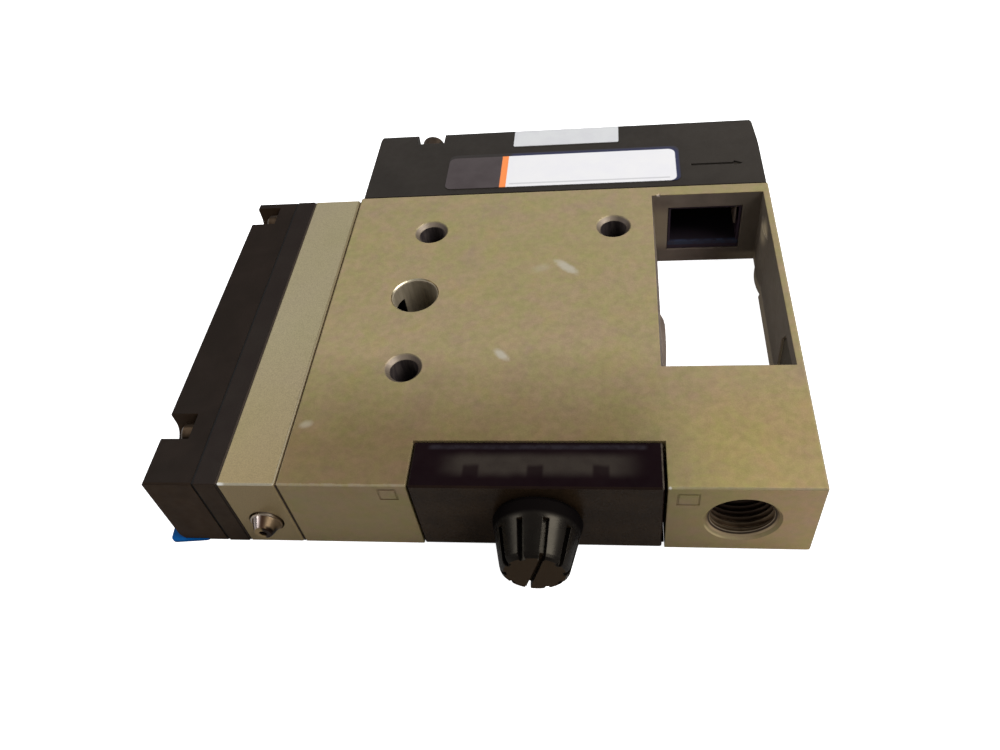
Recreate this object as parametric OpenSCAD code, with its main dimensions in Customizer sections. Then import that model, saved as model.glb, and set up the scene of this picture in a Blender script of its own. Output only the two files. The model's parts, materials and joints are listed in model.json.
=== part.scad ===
// Stacking vacuum ejector unit, one station wide.
// Millimetres, +Z up. The unit lies on its flat underside.
// Drawing frame: X = 0 is the seam between the body and the plates on its left,
// Y = 0 is the front face, Z = 0 is the underside. place() moves everything so that
// the origin is under the middle of the whole unit.

/* [Unit] */
// Thickness of one unit, which is the stacking pitch
unit_t = 15.5; // [15.5:0.1:15.9]
// Length of the main body along X
body_l = 73.85; // [73.6:0.05:74.4]
// Depth of the main body along Y
body_w = 64.1; // [64:0.1:64.6]
// Chamfer on the outer edges of the metal blocks
edge_c = 0.25; // [0.1:0.05:0.35]

/* [Tie rod holes and supply bore] */
// X of the two left tie rod holes
rod_x = 14.85; // [14.7:0.05:15]
// Y of the two rear tie rod holes
rod_y = 53.5; // [53.3:0.05:53.7]
// Distance between tie rod holes
rod_pitch = 32; // [31.9:0.05:32.1]
// Diameter of the tie rod holes
rod_d = 4.5; // [4.3:0.1:4.7]
// Diameter of the countersinks on the tie rod holes
rod_csk_d = 6; // [5.6:0.1:6.2]
// Diameter of the supply bore that runs through the stack
supply_d = 7.4; // [7.2:0.1:7.8]

/* [Window] */
// Distance from the right face to the window
win_frame = 1.1; // [1:0.05:1.3]
// Length of the window along X at the top
win_l = 19.15; // [19:0.05:19.2]
// How far the left wall leans in at the bottom
win_lean = 1.45; // [1.2:0.05:1.5]
// Thickness of the wall behind the window
win_back = 2.6; // [2.4:0.1:2.8]
// Depth of the window along Y
win_w = 40.35; // [40:0.05:40.5]

/* [Vacuum port] */
// Thread diameter of the vacuum port
port_d = 9.6; // [9.5:0.05:9.7]
// Depth of the vacuum port
port_depth = 11.5; // [11:0.1:12]
// Distance from the right face to the port
port_in = 10; // [9.8:0.1:10.2]

/* [Filter case and knob] */
// Left end of the filter case slot
case_x0 = 18.5; // [18.4:0.05:18.8]
// Right end of the filter case slot
case_x1 = 53.7; // [53.5:0.05:53.8]
// Depth of the filter case slot
case_w = 7.65; // [7.6:0.05:7.8]
// X of the knob
knob_x = 36.1; // [35.9:0.05:36.3]
// Knob diameter at its shoulder
knob_d = 12.7; // [12.3:0.1:12.9]
// Knob diameter at its tip
knob_tip_d = 9.4; // [9.1:0.1:9.7]
// Knob length
knob_l = 8.6; // [8.3:0.1:9]
// Number of grip grooves
knob_grooves = 10; // [8:1:12]

/* [Plates on the left] */
// Thickness of the silver adapter plate with its gasket
adapter_t = 8.72; // [8.6:0.02:8.9]
// Thickness of the black blanking plate with its gasket
blank_t = 3.53; // [3.4:0.01:3.6]
// Thickness of the black end cover with its gasket
end_t = 7.7; // [7.6:0.05:7.9]
// Depth of the plates along Y
plate_w = 63.5; // [63.2:0.1:63.5]
// Half width of the screw notches in the end cover
end_notch_r = 2.35; // [2.25:0.05:2.4]

/* [Rear cover] */
// Depth of the rear cover along Y
cover_w = 19.9; // [19.7:0.1:20.2]
// Half width of the screw notches in the rear cover
cover_notch_r = 2.75; // [2.7:0.05:2.9]

/* [Hidden] */
$fn = 64;
e = 0.01;
gk = 0.25;                                // thickness of the flat gaskets
zc = unit_t / 2;                          // middle of the thickness
win_x1 = body_l - win_frame;
win_x0 = win_x1 - win_l;
win_y1 = body_w - win_back;
win_y0 = win_y1 - win_w;
port_x = body_l - port_in;
ad_x0 = -adapter_t;                       // left face of the adapter plate
bl_x0 = ad_x0 - blank_t;                  // left face of the blanking plate
en_x0 = bl_x0 - end_t;                    // left face of the end cover
supply = [14.25, 37.45];                  // axis of the supply bore
ej_x = 25.5;                              // axis of the nozzle and diffuser
ej_r = 3.6;                               // radius of their bore
feed_y = 26;                              // air feed to the nozzle
suck_y = 40;                              // suction chamber around the nozzle tip
suck_x = 40;                              // passage from the filter to the suction chamber
rel_y = 15.5;                             // release air passage
ndl = [-4.35, 5.8];                        // needle axis, X and Z
screw_z = 13.2;                           // screws that break through the top edge
end_screw_y = [10.3, plate_w - 3.75];
cov_screw = [[10.85, 13.25], [50, unit_t - 13.25]];
thread_r = 1.25;
cov_y1 = body_w + cover_w;
sock = [56.6, 2.9, 69.6, 12.6];           // socket opening behind the window: x0, z0, x1, z1
tab_turn = 5;                             // the plug's flange sits a little askew

// overall extents, for the origin
tab_x0 = en_x0 - 2.2;
tab_half = (6.5 / 2 - 0.9) * cos(tab_turn) + (6.6 / 2 - 0.9) * sin(tab_turn) + 0.9;
x_mid = (tab_x0 + body_l) / 2;
y_mid = (cov_y1 - knob_l) / 2;

module place() translate([-x_mid, -y_mid, 0]) children();

// ---------- shapes ----------
function cut_rect(u0, v0, u1, v1, c) = [[u0 + c, v0], [u1 - c, v0], [u1, v0 + c], [u1, v1 - c],
    [u1 - c, v1], [u0 + c, v1], [u0, v1 - c], [u0, v0 + c]];

// outline in XY, XZ or YZ, extruded across the third axis
module along_z(z0, z1) translate([0, 0, z0]) linear_extrude(z1 - z0) children();
module along_y(y0, y1) translate([0, y1, 0]) rotate([90, 0, 0]) linear_extrude(y1 - y0) children();
module along_x(x0, x1) translate([x0, 0, 0]) rotate([90, 0, 90]) linear_extrude(x1 - x0) children();

// box from corner a to corner b with every edge chamfered by c
module block(a, b, c) intersection() {
    along_z(a[2], b[2]) polygon(cut_rect(a[0], a[1], b[0], b[1], c));
    along_y(a[1], b[1]) polygon(cut_rect(a[0], a[2], b[0], b[2], c));
    along_x(a[0], b[0]) polygon(cut_rect(a[1], a[2], b[1], b[2], c));
}
module slab(a, b) translate(a) cube([b[0] - a[0], b[1] - a[1], b[2] - a[2]]);
module xcyl(y, z, x0, x1, r) translate([x0, y, z]) rotate([0, 90, 0]) cylinder(h = x1 - x0, r = r);
module ycyl(x, z, y0, y1, r) translate([x, y0, z]) rotate([-90, 0, 0]) cylinder(h = y1 - y0, r = r);
module ycone(x, z, y0, y1, r0, r1) translate([x, y0, z]) rotate([-90, 0, 0]) cylinder(h = y1 - y0, r1 = r0, r2 = r1);
module zcyl(x, y, z0, z1, r) translate([x, y, z0]) cylinder(h = z1 - z0, r = r);
module zcone(x, y, z0, z1, r0, r1) translate([x, y, z0]) cylinder(h = z1 - z0, r1 = r0, r2 = r1);
// ring of round section about an axis along Y
module o_ring(x, y, z, major, minor) translate([x, y, z]) rotate([-90, 0, 0])
    rotate_extrude() translate([major, 0]) circle(r = minor, $fn = 32);
// turned part about an axis along Y; the outline is given as [radius, y]
module turned(x, z, pts) translate([x, 0, z]) rotate([-90, 0, 0]) rotate_extrude() polygon(pts);
// flat picture frame outline
module frame_2d(u0, v0, u1, v1, t) difference() {
    polygon([[u0, v0], [u1, v0], [u1, v1], [u0, v1]]);
    polygon([[u0 + t, v0 + t], [u1 - t, v0 + t], [u1 - t, v1 - t], [u0 + t, v1 - t]]);
}
// rectangle with round corners, built from squares and circles
module round_rect(w, h, r) {
    square([w - 2 * r, h], center = true);
    square([w, h - 2 * r], center = true);
    for (sx = [-1, 1], sy = [-1, 1]) translate([sx * (w / 2 - r), sy * (h / 2 - r)]) circle(r = r, $fn = 32);
}
// pan head screw, its head's outer face at 0, pointing along -Z, with a cross recess
module screw(head_r, head_h, length) {
    difference() {
        union() {
            translate([0, 0, -head_h]) cylinder(h = head_h - 0.5, r = head_r);
            translate([0, 0, -0.5]) cylinder(h = 0.5, r1 = head_r, r2 = head_r - 0.5);
        }
        for (a = [0, 90]) rotate(a + 20) translate([-1.15, -0.28, -0.9]) cube([2.3, 0.56, 1]);
    }
    translate([0, 0, -head_h - length]) cylinder(h = length + e, r = thread_r);
}

// ---------- main body ----------
module rod_hole(x, y) {
    zcyl(x, y, -1, unit_t + 1, rod_d / 2);
    d = (rod_csk_d - rod_d) / 2;
    zcone(x, y, unit_t - d, unit_t + 0.2, rod_d / 2, rod_csk_d / 2 + 0.2);
    zcone(x, y, -0.2, d, rod_csk_d / 2 + 0.2, rod_d / 2);
}
module ejector_body() color([0.61, 0.56, 0.43]) place() difference() {
    union() {
        difference() {
            block([0, 0, 0], [body_l, body_w, unit_t], edge_c);
            // through window, its left wall leaning in towards the underside
            k = win_lean / unit_t;
            along_y(win_y0, win_y1) polygon([[win_x0 - k, unit_t + 1], [win_x1, unit_t + 1], [win_x1, -1], [win_x0 + win_lean + k, -1]]);
            // shallow relief in the right wall, near the front
            along_x(win_x1 - e, win_x1 + 0.4) polygon([[win_y0 + 1.4, -1], [win_y0 + 9.8, -1], [win_y0 + 10.4, 9.8],
                [win_y0 + 8.4, 12.6], [win_y0 + 1.4, 13]]);
        }
        // rounded clamping pads on the side walls
        k0 = win_x0 + win_lean;
        along_z(0, 3.4) polygon([[win_x0 - 1, win_y0 + 8], [k0, win_y0 + 8], [k0 + 0.3, win_y0 + 12], [k0 + 0.43, win_y0 + 15],
            [k0 + 0.46, win_y0 + 18.8], [k0 + 0.42, win_y0 + 20.2], [k0 + 0.25, win_y0 + 21.4], [k0 - 0.2, win_y0 + 22.6], [win_x0 - 1, win_y0 + 22.6]]);
        intersection() {
            zcyl(win_x1 - 0.5 + 13, win_y1 - 6.1, 0, 12.4, 13);
            slab([win_x1 - 0.6, win_y1 - 14, 0], [win_x1 + 0.2, win_y1 - 1, 13]);
        }
        // small bead along the bottom of the right wall
        along_y(win_y0 - e, win_y0 + 30) polygon([[win_x1 + e, 0], [win_x1 + e, 1.5], [win_x1 - 0.28, 0]]);
    }
    // tie rod holes and supply bore
    rod_hole(rod_x, rod_y);
    rod_hole(rod_x + rod_pitch, rod_y);
    rod_hole(rod_x, rod_y - rod_pitch);
    zcyl(supply[0], supply[1], -1, unit_t + 1, supply_d / 2);
    zcone(supply[0], supply[1], unit_t - 0.3, unit_t + 0.1, supply_d / 2, supply_d / 2 + 0.4);
    zcone(supply[0], supply[1], -0.1, 0.3, supply_d / 2 + 0.4, supply_d / 2);
    // slot that leads from the supply bore to the plates
    slab([-1, supply[1] - 2.3, zc - 4.55], [supply[0] - 1, supply[1] + 2.3, zc + 4.55]);
    // opening behind the window for the plug socket
    slab([sock[0], win_y1 - 1, sock[1]], [sock[2], body_w + 1, sock[3]]);
    // vacuum port with its countersunk mouth and the way to the filter
    ycyl(port_x, zc, -1, port_depth - 3.7, port_d / 2);
    ycyl(port_x, zc, 1, port_depth, 4);
    ycone(port_x, zc, -0.1, 0.45, port_d / 2 + 0.55, port_d / 2);
    xcyl(9.8, zc, case_x1 - 3, port_x, 1.8);
    // slot for the filter case, and the chamber behind it
    slab([case_x0, -1, -1], [case_x1, case_w, unit_t + 1]);
    slab([case_x0 + 2.4, case_w - 1, 2.4], [case_x1 - 2.4, 12, unit_t - 2.4]);
    ycyl(knob_x, zc, 11, 19, 2.06);
    // bore of the nozzle and the diffuser, with its air feed
    ycyl(ej_x, zc, 22.5, body_w + 1, ej_r);
    xcyl(feed_y, zc, -1, ej_x, 1.5);
    // suction: from the filter chamber, across to the nozzle tip
    ycyl(suck_x, zc, 11, suck_y, 1.5);
    xcyl(suck_y, zc, ej_x, win_x0 + 3, 1.8);
    // release air passage into the filter chamber
    xcyl(rel_y, zc, -1, 25.4, 1.3);
    ycyl(24, zc, 11, rel_y, 1.1);
    // tapped holes
    for (y = end_screw_y, z = [screw_z, unit_t - screw_z]) xcyl(y, z, -1, 6, thread_r);
    for (s = cov_screw) ycyl(s[0], s[1], body_w - 7.1, body_w + 1, thread_r);
    // two small square marks engraved in the front face
    along_y(-1, 0.12) frame_2d(14.3, 12, 17, 14.6, 0.25);
    along_y(-1, 0.12) frame_2d(54.9, 11.4, 57.9, 14.1, 0.25);
    // nick in the window's rear edge
    translate([win_x0 + 1.2, win_y1, unit_t]) rotate([45, 0, 20]) cube([0.7, 0.5, 0.5], center = true);
}

// ---------- rear cover with the silencer ----------
module rear_cover() color([0.2, 0.19, 0.18]) place() difference() {
    union() {
        intersection() {
            along_z(0, unit_t) polygon([[0.4, body_w], [body_l - 0.2, body_w], [body_l - 0.3, body_w + 11.8],
                [body_l - 0.8, cov_y1 - 1], [body_l - 1.15, cov_y1 - 0.3], [body_l - 1.9, cov_y1],
                [1.7, cov_y1], [0.75, cov_y1 - 0.35], [0.4, cov_y1 - 1.3]]);
            along_x(0, body_l) polygon(cut_rect(body_w - 2, 0, cov_y1, unit_t, 0.3));
            along_y(body_w - 1, cov_y1) polygon(cut_rect(0.4, 0, body_l - 0.2, unit_t, 0.2));
        }
        // spigot that fills the opening behind the window
        slab([sock[0] + 0.1, win_y1 + 0.25, sock[1] + 0.1], [sock[2] - 0.1, body_w + 1, sock[3] - 0.1]);
    }
    // plug socket
    difference() {
        slab([sock[0] + 0.5, win_y1 - 1, sock[1] + 1.7], [sock[2] - 0.5, body_w + 8, sock[3] - 0.5]);
        // key rib that hangs from its ceiling
        slab([sock[2] - 1.25, win_y1 + 0.3, sock[3] - 4.2], [sock[2] - 0.95, win_y1 + 6, sock[3] + 1]);
    }
    // exhaust chamber, open to the body, and the silencer chamber behind it
    slab([16, body_w - 1, 2], [45.5, body_w + 9.3, unit_t - 2]);
    slab([16, body_w + 9.2, 4.8], [body_l - 2.5, cov_y1 - 1.7, unit_t - 2]);
    // exhaust slots in the right end
    for (i = [0:2]) slab([body_l - 4, body_w + 10.3 + 2.6 * i, 5.6], [body_l + 1, body_w + 11.7 + 2.6 * i, unit_t - 2.8]);
    // groove of the gasket
    along_y(body_w - 1, body_w + 0.8) frame_2d(13.6, 0.9, 47.9, unit_t - 0.9, 1);
    // screw holes, each with a notch that breaks through the nearer edge
    for (s = cov_screw) {
        ycyl(s[0], s[1], body_w - 1, cov_y1 + 1, 1.4);
        ycyl(s[0], s[1], cov_y1 - 3.1, cov_y1 + 1, cover_notch_r);
        up = s[1] > zc;
        slab([s[0] - cover_notch_r, cov_y1 - 3.1, up ? s[1] : -1], [s[0] + cover_notch_r, cov_y1 + 1, up ? unit_t + 1 : s[1]]);
    }
    // short engraved line and its arrow head beside the label
    slab([61, body_w + 5.72, unit_t - 0.3], [69.6, body_w + 6.34, unit_t + 1]);
    along_z(unit_t - 0.3, unit_t + 1) polygon([[70.2, body_w + 6.03], [68.6, body_w + 6.8], [68.6, body_w + 5.26]]);
}
module rear_cover_gasket() color([0.08, 0.08, 0.08]) place() along_y(body_w, body_w + 0.8) frame_2d(13.65, 0.95, 47.85, unit_t - 0.95, 0.9);
module rear_cover_screws() color([0.62, 0.62, 0.6]) place() for (s = cov_screw)
    translate([s[0], cov_y1 - 0.1, s[1]]) rotate([-90, 0, 0]) screw(2.2, 3, 23.4);
module silencer_element() color([0.83, 0.82, 0.76]) place() slab([16.1, body_w + 9.35, 4.9], [body_l - 2.7, cov_y1 - 1.8, unit_t - 2.1]);

// ---------- nozzle and diffuser ----------
module nozzle() color([0.78, 0.64, 0.34]) place() turned(ej_x, zc, [
    [2.3, 28], [3.55, 28], [3.55, 30], [2.6, 30], [2.6, 31.5], [3.55, 31.5], [3.55, 34.2], [2.6, 34.2], [2.6, 35.7],
    [3.55, 35.7], [3.55, 37.5], [1.9, 38.6], [1.35, 41], [0.85, 41], [0.65, 38.6], [0.65, 37.4], [2.3, 33]]);
module nozzle_o_rings() color([0.06, 0.06, 0.06]) place() {
    o_ring(ej_x, 30.75, zc, 3.1, 0.47);
    o_ring(ej_x, 34.95, zc, 3.1, 0.47);
}
module diffuser() color([0.75, 0.75, 0.76]) place() turned(ej_x, zc, [
    [2.1, 43], [3.55, 43], [3.55, 45.5], [2.6, 45.5], [2.6, 47], [3.55, 47], [3.55, body_w - 0.1], [2, body_w - 0.1],
    [1.1, 54], [1.1, 48]]);
module diffuser_o_ring() color([0.06, 0.06, 0.06]) place() o_ring(ej_x, 46.25, zc, 3.1, 0.47);
module suction_passage_plug() color([0.78, 0.64, 0.34]) place() xcyl(suck_y, zc, win_x0 - 2, win_x0 + 0.3, 1.8);

// ---------- filter ----------
module filter_case() color([0.12, 0.11, 0.11]) place() {
    x0 = case_x0 + 0.2;
    x1 = case_x1 - 0.4;
    difference() {
        union() {
            block([x0, 0, 0.25], [x1, case_w - 0.05, unit_t - 0.15], 0.25);
            // thin flange along the foot that guides the case in its slot
            slab([x0 - 0.14, 0.8, 0.3], [x1 + 0.33, case_w - 0.05, 0.85]);
        }
        slab([x0 + 2.5, 1.6, 2.2], [x1 - 2.2, case_w + 1, unit_t - 1.5]);
        along_y(case_w - 0.85, case_w + 1) frame_2d(x0 + 0.8, 0.95, x1 - 0.6, unit_t - 0.85, 0.95);
        ycyl(knob_x, zc, -1, 5, 2.08);
        ycyl(knob_x, zc, -1, 1.35, 3.45);
    }
    // boss around the stud, and three ribs under the top wall
    difference() {
        ycyl(knob_x, zc, 1.5, case_w - 0.05, 3.6);
        ycyl(knob_x, zc, -1, case_w + 1, 2.08);
    }
    for (x = [knob_x - 9, knob_x, knob_x + 9]) slab([x - 1.1, 1.5, unit_t - 3.3], [x + 1.1, 4.9, unit_t - 1.4]);
}
module filter_case_gasket() color([0.07, 0.07, 0.07]) place()
    along_y(case_w - 0.85, case_w) frame_2d(case_x0 + 1.05, 1, case_x1 - 1.05, unit_t - 0.9, 0.85);
module filter_element() color([0.62, 0.58, 0.5]) place() difference() {
    block([case_x0 + 3, 5, 2.9], [case_x1 - 3, 11.3, unit_t - 3], 1.2);
    ycyl(knob_x, zc, 4, 13, 3.8);
}
module filter_knob() color([0.1, 0.1, 0.1]) place() difference() {
    turned(knob_x, zc, [[0, -0.1], [knob_d / 2 - 0.9, -0.1], [knob_d / 2 - 0.3, -0.35], [knob_d / 2 - 0.02, -0.9],
        [knob_d / 2 - 0.12, -1.5], [knob_tip_d / 2 + 0.08, -knob_l + 0.7], [knob_tip_d / 2 - 0.14, -knob_l + 0.3],
        [knob_tip_d / 2 - 0.5, -knob_l], [0, -knob_l]]);
    // grip grooves, open at the tip
    for (i = [0:knob_grooves - 1]) translate([knob_x, 0, zc]) rotate([0, 17 + i * 360 / knob_grooves, 0])
        rotate([asin((knob_d - knob_tip_d) / 2 / knob_l), 0, 0])
            translate([-0.43, -knob_l - 1, knob_d / 2 - 1]) cube([0.86, knob_l - 1.1, 2]);
    // screwdriver slot across the tip
    translate([knob_x, -knob_l, zc]) rotate([0, 17, 0]) translate([-0.3, -1, -knob_d]) cube([0.6, 2, 2 * knob_d]);
    ycyl(knob_x, zc, -5, 1, 2);
}
module knob_stud() color([0.7, 0.7, 0.69]) place() {
    ycyl(knob_x, zc, -5, 17.5, 2);
    ycone(knob_x, zc, 17.5, 18.2, 2, 1.3);
}
module knob_o_ring() color([0.06, 0.06, 0.06]) place() o_ring(knob_x, 0.7, zc, 2.78, 0.62);

// ---------- plates on the left ----------
module adapter_plate() color([0.66, 0.63, 0.52]) place() difference() {
    block([ad_x0, 0, 0], [-gk, plate_w, unit_t], edge_c);
    for (y = end_screw_y, z = [screw_z, unit_t - screw_z]) xcyl(y, z, ad_x0 - 1, 1, 1.4);
    xcyl(supply[1] - 1.1, zc, ad_x0 - 1, 1, 1.9);
    xcyl(feed_y, zc, ad_x0 - 1, 1, 1.5);
    xcyl(rel_y, zc, ad_x0 - 1, 1, 1.3);
    // stepped bore of the needle
    ycyl(ndl[0], ndl[1], -1, 1.4, 2.62);
    ycyl(ndl[0], ndl[1], -1, 12, 2);
    ycyl(ndl[0], ndl[1], 11, rel_y, 1);
}
module adapter_gasket() color([0.05, 0.05, 0.05]) place() difference() {
    slab([-gk, 0.15, 0.15], [0, plate_w - 0.15, unit_t - 0.4]);
    for (y = end_screw_y, z = [screw_z, unit_t - screw_z]) xcyl(y, z, -1, 1, 1.4);
    xcyl(supply[1] - 1.1, zc, -1, 1, 1.9);
    xcyl(feed_y, zc, -1, 1, 1.5);
    xcyl(rel_y, zc, -1, 1, 1.3);
}
module release_needle() color([0.8, 0.77, 0.7]) place() difference() {
    turned(ndl[0], ndl[1], [[0, -2.1], [1.22, -2.1], [1.36, -1.97], [2.16, -0.32], [2.38, -0.26], [2.38, 0.35], [1.95, 0.6], [1.95, 8.4],
        [1.15, 8.4], [1.15, 9.5], [1.95, 9.5], [1.95, 10.8], [0.9, 11.6], [0.35, 14.6], [0, 14.6]]);
    // hexagon socket in the tip
    translate([ndl[0], -3, ndl[1]]) rotate([-90, 0, 0]) rotate(10) cylinder(h = 2.4, r = 0.65, $fn = 6);
}
module needle_o_ring() color([0.06, 0.06, 0.06]) place() o_ring(ndl[0], 8.95, ndl[1], 1.57, 0.38);

module plate_gasket(x1) difference() {
    slab([x1 - gk, 0.15, 0.15], [x1, plate_w - 0.15, unit_t - 0.15]);
    for (y = end_screw_y, z = [screw_z, unit_t - screw_z]) xcyl(y, z, x1 - 1, x1 + 1, 1.4);
    children();
}
module blanking_plate() color([0.13, 0.12, 0.11]) place() difference() {
    block([bl_x0, 0, 0], [ad_x0 - gk, plate_w, unit_t], 0.12);
    for (y = end_screw_y, z = [screw_z, unit_t - screw_z]) xcyl(y, z, bl_x0 - 1, 1, 1.4);
    // channel that joins the supply passage to the nozzle feed
    slab([ad_x0 - gk - 1.6, feed_y, zc - 1.5], [1, supply[1] - 1.1, zc + 1.5]);
    xcyl(feed_y, zc, ad_x0 - gk - 1.6, 1, 1.5);
    xcyl(supply[1] - 1.1, zc, ad_x0 - gk - 1.6, 1, 1.5);
}
module blanking_plate_gasket() color([0.05, 0.05, 0.05]) place() plate_gasket(ad_x0) {
    slab([ad_x0 - 1, feed_y, zc - 1.5], [ad_x0 + 1, supply[1] - 1.1, zc + 1.5]);
    xcyl(feed_y, zc, ad_x0 - 1, ad_x0 + 1, 1.5);
    xcyl(supply[1] - 1.1, zc, ad_x0 - 1, ad_x0 + 1, 1.5);
}

// outline of the end cover in XZ: its lower left edge is rounded
r_low = 1.9;
function end_outline(x0, x1) = concat([[x1, 0.1], [x1, unit_t - 0.1], [x1 - 0.1, unit_t], [x0 + 0.25, unit_t], [x0, unit_t - 0.25]],
    [for (a = [180:15:270]) [x0 + r_low + r_low * cos(a), r_low + r_low * sin(a)]], [[x1 - 0.1, 0]]);
module tab_2d(grow) translate([tab_x0 + tab_half, 2.95]) rotate(tab_turn) round_rect(6.5 + 2 * grow, 6.6 + 2 * grow, 0.9 + grow);
module end_cover() color([0.16, 0.14, 0.13]) place() difference() {
    intersection() {
        along_y(0, plate_w) polygon(end_outline(en_x0, bl_x0 - gk));
        along_x(en_x0, bl_x0) polygon(cut_rect(0, 0, plate_w, unit_t, 0.25));
    }
    // screw holes with notches that break through the upper and lower edges
    for (y = end_screw_y, up = [true, false]) {
        z = up ? screw_z : unit_t - screw_z;
        xcyl(y, z, en_x0 - 1, bl_x0 + 1, 1.4);
        xcyl(y, z, en_x0 - 1, en_x0 + 4.5, end_notch_r);
        slab([en_x0 - 1, y - end_notch_r, up ? z : -1], [en_x0 + 4.5, y + end_notch_r, up ? unit_t + 1 : z]);
    }
    // moulded pockets on the inner side, left open between two ribs
    for (y = [16.5, 29.5, 42.5]) slab([en_x0 + 1.8, y, 2.2], [bl_x0 + 1, y + 11.6, unit_t - 2.2]);
    // seat and port of the blue plug
    along_z(-1, 0.45) tab_2d(0.1);
    zcyl(tab_x0 + 4.6, 3.2, -1, 4.2, 1.5);
}
module end_cover_gasket() color([0.05, 0.05, 0.05]) place() plate_gasket(bl_x0);
module end_cover_screws() color([0.62, 0.62, 0.6]) place() for (y = end_screw_y, z = [screw_z, unit_t - screw_z])
    translate([en_x0 + 2.3, y, z]) rotate([0, -90, 0]) screw(1.95, 2.2, 21);
module blue_plug() color([0.03, 0.33, 0.6]) place() {
    along_z(0, 0.4) tab_2d(0);
    zcyl(tab_x0 + 4.6, 3.2, 0.3, 4, 1.5);
}

// ---------- labels ----------
module main_label() color([0.93, 0.92, 0.93]) place() along_z(unit_t, unit_t + 0.1)
    translate([(15.6 + 59) / 2, body_w + 6.8]) round_rect(43.4, 10.6, 1.3);
module number_label() color([0.84, 0.84, 0.85]) place() along_z(unit_t, unit_t + 0.1)
    translate([37.8, body_w + 16.85]) round_rect(20.2, 5.1, 0.4);

ejector_body();
rear_cover();
rear_cover_gasket();
rear_cover_screws();
silencer_element();
nozzle();
nozzle_o_rings();
diffuser();
diffuser_o_ring();
suction_passage_plug();
filter_case();
filter_case_gasket();
filter_element();
filter_knob();
knob_stud();
knob_o_ring();
adapter_plate();
adapter_gasket();
release_needle();
needle_o_ring();
blanking_plate();
blanking_plate_gasket();
end_cover();
end_cover_gasket();
end_cover_screws();
main_label();
number_label();
blue_plug();
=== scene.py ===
import bpy
import bmesh
import json
import math
from mathutils import Matrix, Vector


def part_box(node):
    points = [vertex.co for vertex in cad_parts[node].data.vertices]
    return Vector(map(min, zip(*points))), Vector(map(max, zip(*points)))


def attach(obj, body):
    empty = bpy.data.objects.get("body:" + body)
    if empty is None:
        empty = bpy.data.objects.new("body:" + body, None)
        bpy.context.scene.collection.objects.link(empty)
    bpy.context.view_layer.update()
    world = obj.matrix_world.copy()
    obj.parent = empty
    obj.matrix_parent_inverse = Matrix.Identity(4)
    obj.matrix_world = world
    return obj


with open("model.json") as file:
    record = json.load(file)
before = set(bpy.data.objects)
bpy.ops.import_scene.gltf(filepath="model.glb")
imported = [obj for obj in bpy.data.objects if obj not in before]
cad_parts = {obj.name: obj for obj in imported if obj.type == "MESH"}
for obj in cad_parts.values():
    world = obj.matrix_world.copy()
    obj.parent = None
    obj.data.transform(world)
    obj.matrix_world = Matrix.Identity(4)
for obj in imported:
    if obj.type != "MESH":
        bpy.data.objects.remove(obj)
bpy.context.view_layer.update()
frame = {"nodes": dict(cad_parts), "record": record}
NODES = frame["nodes"]

# ---------------------------------------------------------------- drawing frame
# x = 0 is the seam between the body and the plates on its left, y = 0 the front face, z = 0 the underside, in mm.
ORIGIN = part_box("ejector_body")[0]
BODY = (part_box("ejector_body")[1] - ORIGIN) * 1000.0


def P(x, y, z):
    return Vector((ORIGIN.x + x * 0.001, ORIGIN.y + y * 0.001, ORIGIN.z + z * 0.001))


def mm(node):
    """lowest and highest corner of a CAD node in the drawing frame"""
    lo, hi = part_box(node)
    return (lo - ORIGIN) * 1000.0, (hi - ORIGIN) * 1000.0


def srgb(r, g, b):
    def f(c):
        c /= 255.0
        return c / 12.92 if c <= 0.04045 else ((c + 0.055) / 1.055) ** 2.4

    return (f(r), f(g), f(b), 1.0)


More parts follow.
